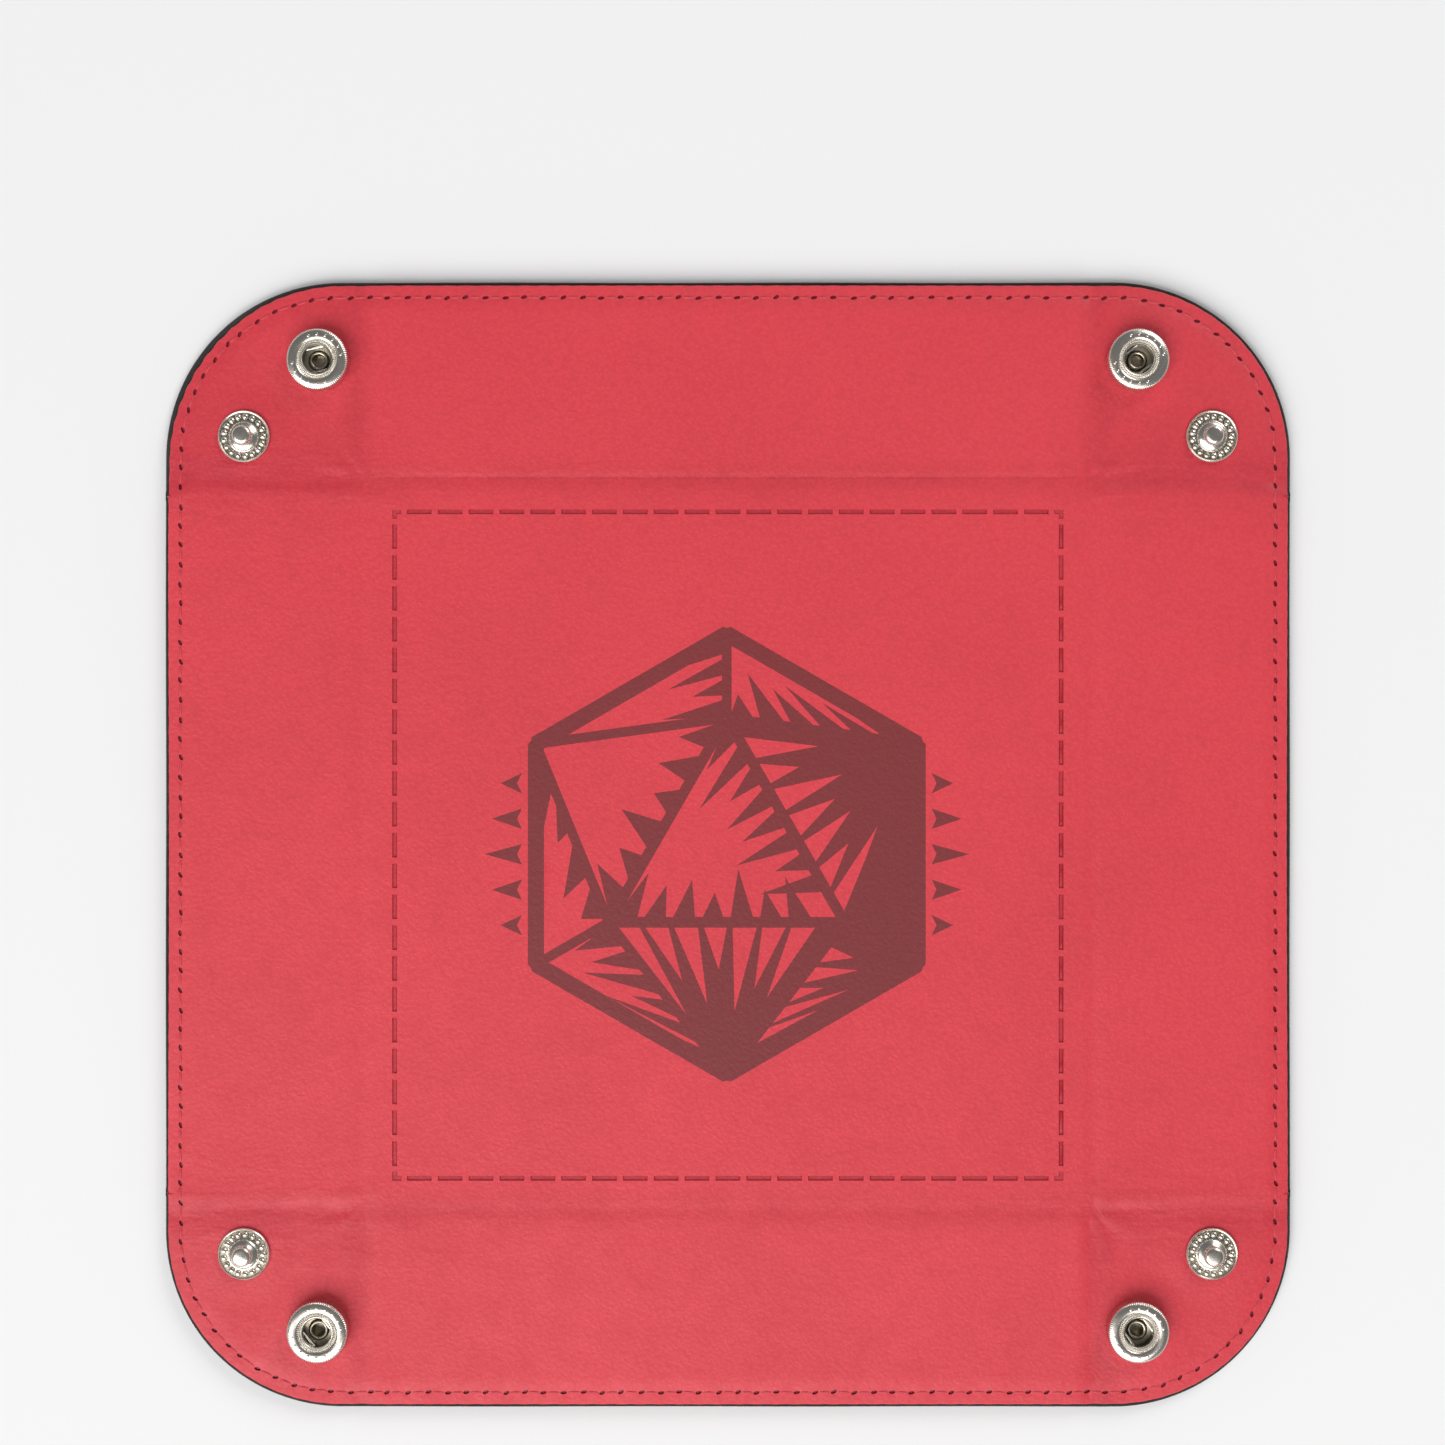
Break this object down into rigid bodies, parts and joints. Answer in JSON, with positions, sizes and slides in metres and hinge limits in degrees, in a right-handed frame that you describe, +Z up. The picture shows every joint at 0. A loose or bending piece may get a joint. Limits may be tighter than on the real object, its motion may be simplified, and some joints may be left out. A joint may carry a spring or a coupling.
{
  "type": "folding dice tray",
  "caption": "Square rounded-corner leather sheet with stiff boards inside, lying flat; snap fasteners pinch its corners so that its edges fold up into tray walls.",
  "frame": {"origin": "centre of the base's underside, on the surface that the tray lies on", "axes": "+Z up, out of the rolling surface; +Y towards the back wall; +X towards the right wall"},
  "size_m": [0.21, 0.21, 0.0068],
  "materials": {
    "red_leather": "fine-grained imitation leather, satin, with debossed lines and a tone-on-tone print",
    "black_velvet": "short-pile black velvet, matt",
    "board": "plain greyboard, matt",
    "nickel": "bright nickel plate",
    "spring_steel": "drawn wire, satin",
    "thread": "twisted polyester sewing thread, the leather's red"
  },
  "bodies": {
    "base": {"base_backing": "black_velvet", "base_board": "board", "base_leather": "red_leather"},
    "wall_back": {"wall_back_backing": "black_velvet", "wall_back_board": "board", "wall_back_leather": "red_leather"},
    "wall_left": {"wall_left_backing": "black_velvet", "wall_left_board": "board", "wall_left_leather": "red_leather"},
    "wall_front": {"wall_front_backing": "black_velvet", "wall_front_board": "board", "wall_front_leather": "red_leather"},
    "wall_right": {"wall_right_backing": "black_velvet", "wall_right_board": "board", "wall_right_leather": "red_leather"},
    "corner_back_right_socket_half": {"corner_back_right_socket_half_backing": "black_velvet", "corner_back_right_socket_half_leather": "red_leather", "snap_cap_back_right": "nickel", "snap_socket_back_right": "nickel", "snap_spring_back_right": "spring_steel"},
    "corner_back_right_stud_half": {"corner_back_right_stud_half_backing": "black_velvet", "corner_back_right_stud_half_leather": "red_leather", "snap_stud_back_right": "nickel", "snap_eyelet_back_right": "nickel"},
    "corner_back_left_socket_half": {"corner_back_left_socket_half_backing": "black_velvet", "corner_back_left_socket_half_leather": "red_leather", "snap_cap_back_left": "nickel", "snap_socket_back_left": "nickel", "snap_spring_back_left": "spring_steel"},
    "corner_back_left_stud_half": {"corner_back_left_stud_half_backing": "black_velvet", "corner_back_left_stud_half_leather": "red_leather", "snap_stud_back_left": "nickel", "snap_eyelet_back_left": "nickel"},
    "corner_front_left_socket_half": {"corner_front_left_socket_half_backing": "black_velvet", "corner_front_left_socket_half_leather": "red_leather", "snap_cap_front_left": "nickel", "snap_socket_front_left": "nickel", "snap_spring_front_left": "spring_steel"},
    "corner_front_left_stud_half": {"corner_front_left_stud_half_backing": "black_velvet", "corner_front_left_stud_half_leather": "red_leather", "snap_stud_front_left": "nickel", "snap_eyelet_front_left": "nickel"},
    "corner_front_right_socket_half": {"corner_front_right_socket_half_backing": "black_velvet", "corner_front_right_socket_half_leather": "red_leather", "snap_cap_front_right": "nickel", "snap_socket_front_right": "nickel", "snap_spring_front_right": "spring_steel"},
    "corner_front_right_stud_half": {"corner_front_right_stud_half_backing": "black_velvet", "corner_front_right_stud_half_leather": "red_leather", "snap_stud_front_right": "nickel", "snap_eyelet_front_right": "nickel"}
  },
  "joints": [
    {"name": "fold_back", "type": "hinge", "parent": "base", "child": "wall_back", "pos_m": [0, 0.068, 0.0034], "axis": [1, 0, 0], "range_deg": [0, 89]},
    {"name": "fold_front", "type": "hinge", "parent": "base", "child": "wall_front", "pos_m": [0, -0.068, 0.0034], "axis": [-1, 0, 0], "range_deg": [0, 89]},
    {"name": "fold_right", "type": "hinge", "parent": "base", "child": "wall_right", "pos_m": [0.068, 0, 0.0034], "axis": [0, -1, 0], "range_deg": [0, 89]},
    {"name": "fold_left", "type": "hinge", "parent": "base", "child": "wall_left", "pos_m": [-0.068, 0, 0.0034], "axis": [0, 1, 0], "range_deg": [0, 89]},
    {"name": "crease_back_right", "type": "hinge", "parent": "wall_back", "child": "corner_back_right_socket_half", "pos_m": [0.06496, 0.0865, 0.0034], "axis": [0, 1, 0], "range_deg": [0, 44.3]},
    {"name": "pinch_back_right", "type": "hinge", "parent": "corner_back_right_socket_half", "child": "corner_back_right_stud_half", "pos_m": [0.068, 0.068, 0.00555], "axis": [-0.7071, -0.7071, 0], "range_deg": [0, 178]},
    {"name": "crease_back_left", "type": "hinge", "parent": "wall_back", "child": "corner_back_left_socket_half", "pos_m": [-0.06496, 0.0865, 0.0034], "axis": [0, -1, 0], "range_deg": [0, 44.3]},
    {"name": "pinch_back_left", "type": "hinge", "parent": "corner_back_left_socket_half", "child": "corner_back_left_stud_half", "pos_m": [-0.068, 0.068, 0.00555], "axis": [-0.7071, 0.7071, 0], "range_deg": [0, 178]},
    {"name": "crease_front_left", "type": "hinge", "parent": "wall_front", "child": "corner_front_left_socket_half", "pos_m": [-0.06496, -0.0865, 0.0034], "axis": [0, -1, 0], "range_deg": [0, 44.3]},
    {"name": "pinch_front_left", "type": "hinge", "parent": "corner_front_left_socket_half", "child": "corner_front_left_stud_half", "pos_m": [-0.068, -0.068, 0.00555], "axis": [0.7071, 0.7071, 0], "range_deg": [0, 178]},
    {"name": "crease_front_right", "type": "hinge", "parent": "wall_front", "child": "corner_front_right_socket_half", "pos_m": [0.06496, -0.0865, 0.0034], "axis": [0, 1, 0], "range_deg": [0, 44.3]},
    {"name": "pinch_front_right", "type": "hinge", "parent": "corner_front_right_socket_half", "child": "corner_front_right_stud_half", "pos_m": [0.068, -0.068, 0.00555], "axis": [0.7071, -0.7071, 0], "range_deg": [0, 178]}
  ],
  "couplings": [
    {"joint": "fold_front", "follows": "fold_back", "ratio": 1},
    {"joint": "fold_right", "follows": "fold_back", "ratio": 1},
    {"joint": "fold_left", "follows": "fold_back", "ratio": 1},
    {"joint": "crease_back_right", "follows": "fold_back", "ratio": 0.49772},
    {"joint": "pinch_back_right", "follows": "fold_back", "ratio": 2},
    {"joint": "crease_back_left", "follows": "fold_back", "ratio": 0.49772},
    {"joint": "pinch_back_left", "follows": "fold_back", "ratio": 2},
    {"joint": "crease_front_left", "follows": "fold_back", "ratio": 0.49772},
    {"joint": "pinch_front_left", "follows": "fold_back", "ratio": 2},
    {"joint": "crease_front_right", "follows": "fold_back", "ratio": 0.49772},
    {"joint": "pinch_front_right", "follows": "fold_back", "ratio": 2}
  ]
}
